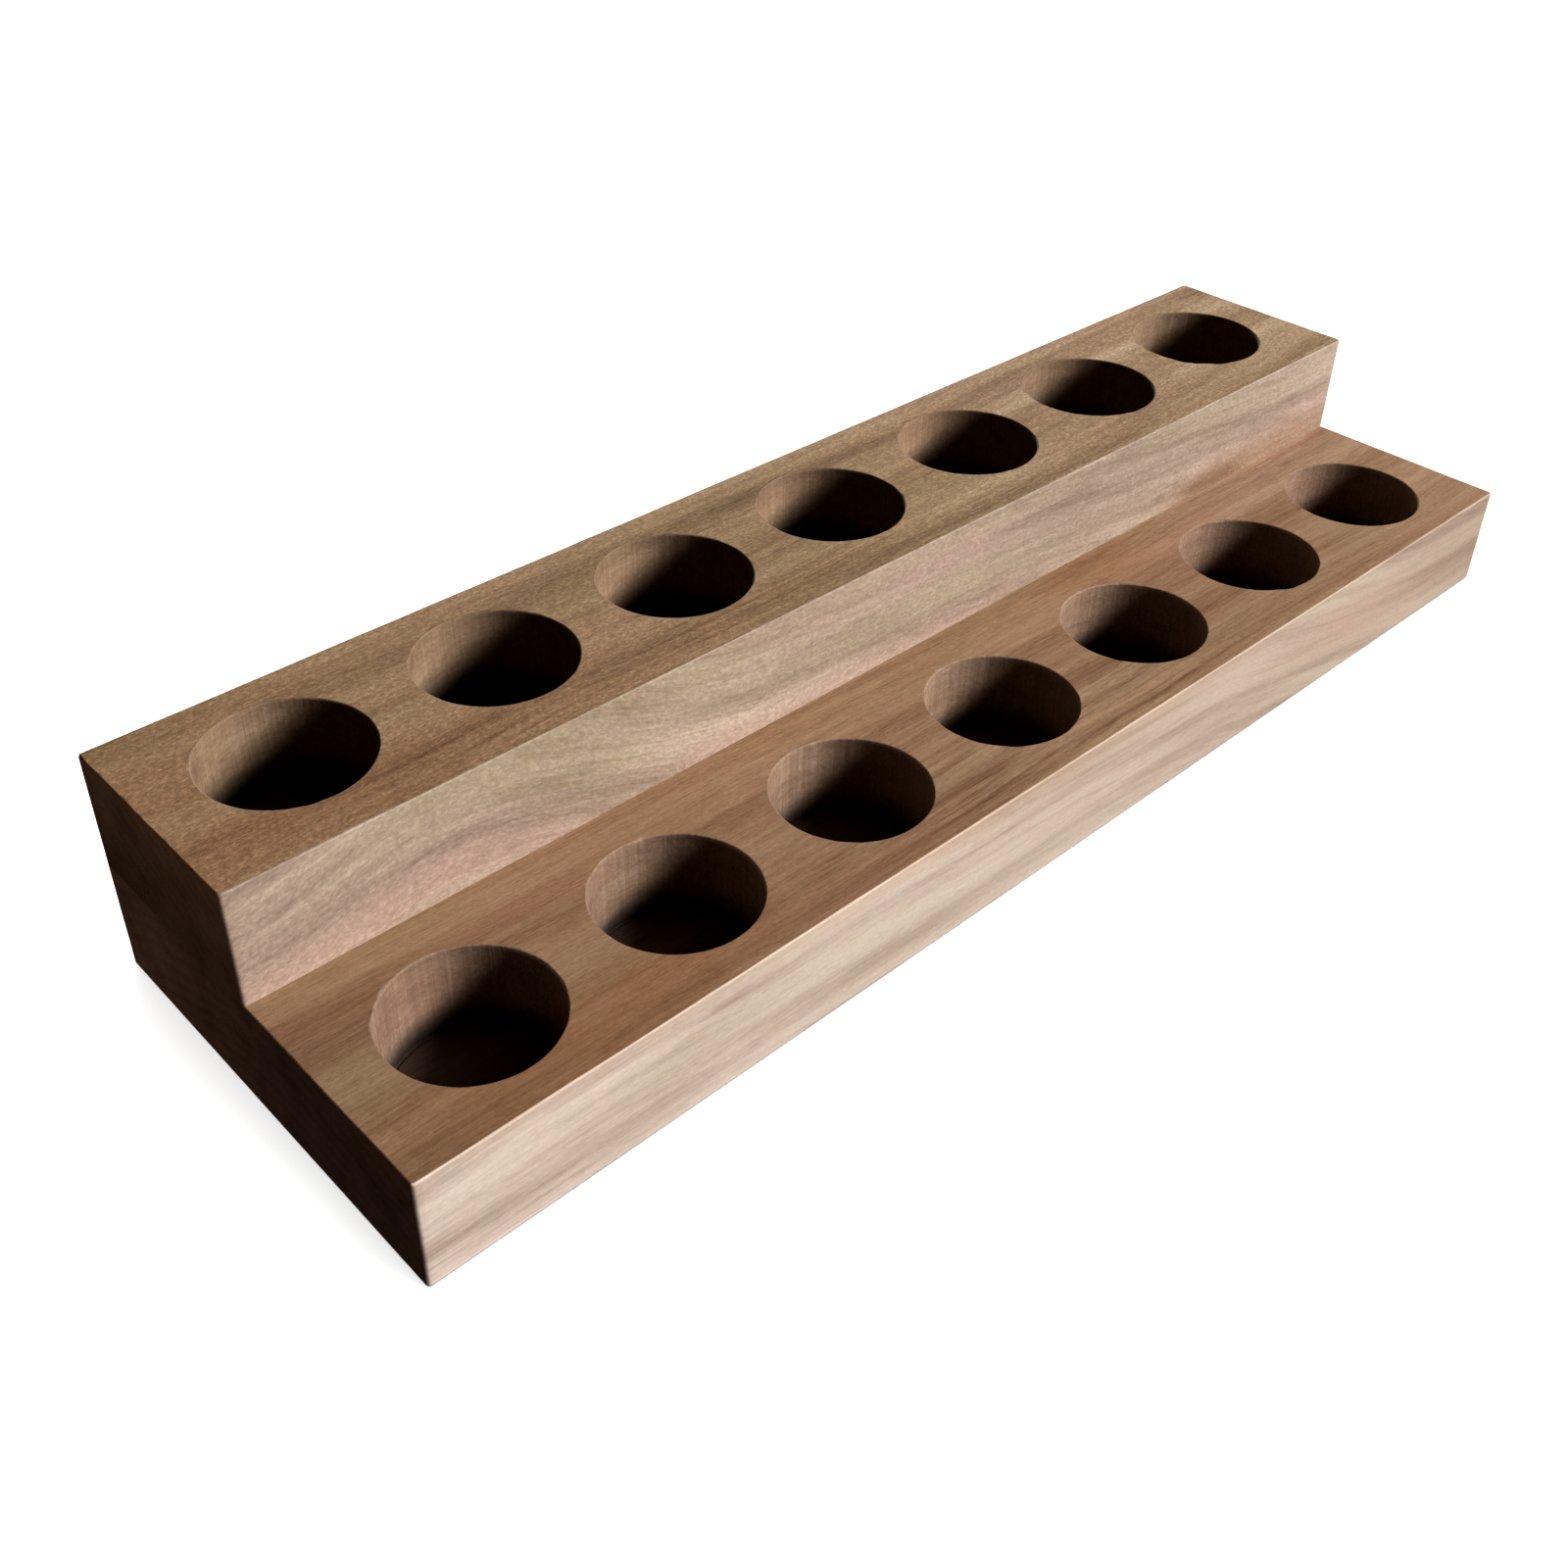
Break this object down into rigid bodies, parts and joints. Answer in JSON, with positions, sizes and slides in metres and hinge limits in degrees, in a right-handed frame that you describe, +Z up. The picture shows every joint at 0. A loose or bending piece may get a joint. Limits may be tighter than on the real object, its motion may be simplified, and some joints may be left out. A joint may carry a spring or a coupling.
{
  "type": "tool storage caddy",
  "caption": "Two-tier wooden bench caddy: a full-depth base board with a row of round sockets and a raised rear board with a second row.",
  "frame": {"origin": "centre of the footprint, on the surface the caddy stands on", "axes": "+X along the length, to the right seen from the front; +Y towards the raised rear tier; +Z up"},
  "size_m": [0.26, 0.08, 0.04],
  "materials": {
    "walnut_base": "sanded walnut, bare or thinly oiled, matt",
    "walnut_riser": "sanded walnut, bare or thinly oiled, matt",
    "beech_dowel": "raw fluted beech"
  },
  "bodies": {
    "root": {"base_board": "walnut_base", "riser_board": "walnut_riser", "dowel_pin_1": "beech_dowel", "dowel_pin_2": "beech_dowel", "dowel_pin_3": "beech_dowel", "dowel_pin_4": "beech_dowel"}
  },
  "joints": []
}
